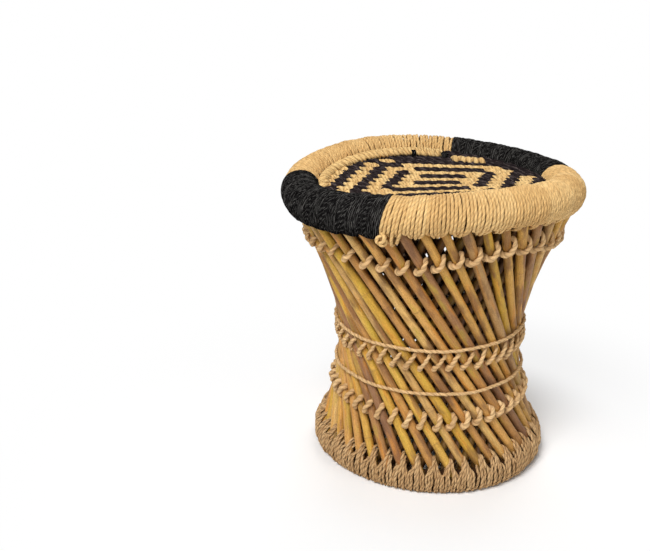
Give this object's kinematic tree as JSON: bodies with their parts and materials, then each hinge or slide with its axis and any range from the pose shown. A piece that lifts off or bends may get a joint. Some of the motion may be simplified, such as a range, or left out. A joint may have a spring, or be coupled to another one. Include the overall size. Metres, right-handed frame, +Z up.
{
  "type": "mudda stool",
  "caption": "Round waisted cane stool with rope-bound rings and a woven black and natural cord seat.",
  "frame": {"origin": "on the floor, under the middle of the stool", "axes": "+Z up, -Y towards the side that the picture shows"},
  "size_m": [0.3588, 0.3588, 0.367],
  "materials": {
    "outer_cane": "bare yellow-brown cane with a smooth skin",
    "inner_cane": "bare cane, a little darker",
    "reed_core": "bundled dry reed, hidden under the binding",
    "natural_cord": "two-ply natural grass cord, matt",
    "black_cord": "black cord, slightly glossy",
    "foot_cord": "browner natural grass cord, matt",
    "lashing_cord": "thin natural grass cord, matt",
    "seat_weave": "thick cord weave in natural and black"
  },
  "bodies": {
    "root": {"cane_01": "outer_cane", "cane_02": "outer_cane", "cane_03": "outer_cane", "cane_04": "outer_cane", "cane_05": "outer_cane", "cane_06": "outer_cane", "cane_07": "outer_cane", "cane_08": "outer_cane", "cane_09": "outer_cane", "cane_10": "outer_cane", "cane_11": "outer_cane", "cane_12": "outer_cane", "cane_13": "outer_cane", "cane_14": "outer_cane", "cane_15": "outer_cane", "cane_16": "outer_cane", "cane_17": "outer_cane", "cane_18": "outer_cane", "cane_19": "outer_cane", "cane_20": "outer_cane", "cane_21": "outer_cane", "cane_22": "outer_cane", "cane_23": "outer_cane", "cane_24": "outer_cane", "cane_25": "outer_cane", "cane_26": "outer_cane", "cane_27": "outer_cane", "cane_28": "outer_cane", "cane_29": "outer_cane", "cane_30": "outer_cane", "cane_31": "outer_cane", "cane_32": "outer_cane", "cane_33": "outer_cane", "cane_34": "outer_cane", "cane_35": "outer_cane", "cane_36": "outer_cane", "cane_37": "outer_cane", "cane_38": "outer_cane", "cane_39": "outer_cane", "cane_40": "outer_cane", "cane_41": "outer_cane", "cane_42": "outer_cane", "cane_43": "outer_cane", "cane_44": "outer_cane", "seat_ring_core": "reed_core", "foot_ring_core": "reed_core", "seat_binding_natural_front": "natural_cord", "seat_binding_natural_back": "natural_cord", "seat_binding_black_back": "black_cord", "seat_binding_black_front": "black_cord", "foot_binding": "foot_cord", "inner_cane_layer": "inner_cane", "upper_lashing": "lashing_cord", "waist_lashing": "lashing_cord", "lower_lashing": "lashing_cord", "upper_girth_cord": "lashing_cord", "lower_girth_cord": "lashing_cord", "woven_seat": "seat_weave"}
  },
  "joints": []
}
